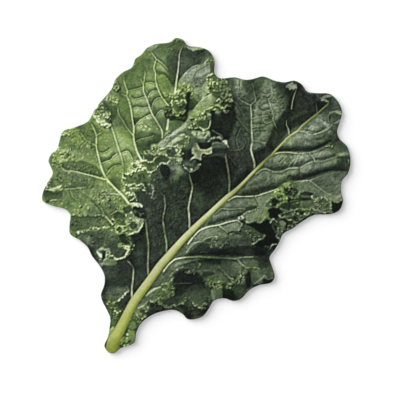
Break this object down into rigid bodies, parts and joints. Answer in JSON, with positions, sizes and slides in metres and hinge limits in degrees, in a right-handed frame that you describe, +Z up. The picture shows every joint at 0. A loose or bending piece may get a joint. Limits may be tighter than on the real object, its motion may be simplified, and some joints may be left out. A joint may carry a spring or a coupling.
{
  "type": "contour-cut leaf-print table mat",
  "caption": "Flat table mat cut to the wavy outline of two curly leaves and their stem, a leaf picture printed on its vinyl face, with a non-slip rubber backing.",
  "frame": {"origin": "centre of the bounding box in plan, on the underside that rests on the table", "axes": "+Z up out of the printed face, +X and +Y in the plane of the mat, with the stem at -X, -Y"},
  "size_m": [0.3698, 0.3781, 0.005],
  "materials": {
    "printed_vinyl": "satin vinyl with a leaf picture printed from edge to edge, fine emboss, pressed edge",
    "black_rubber": "matt black rubber, moulded grip pads below, cut sides"
  },
  "bodies": {
    "root": {"printed_face": "printed_vinyl", "rubber_backing": "black_rubber"}
  },
  "joints": []
}
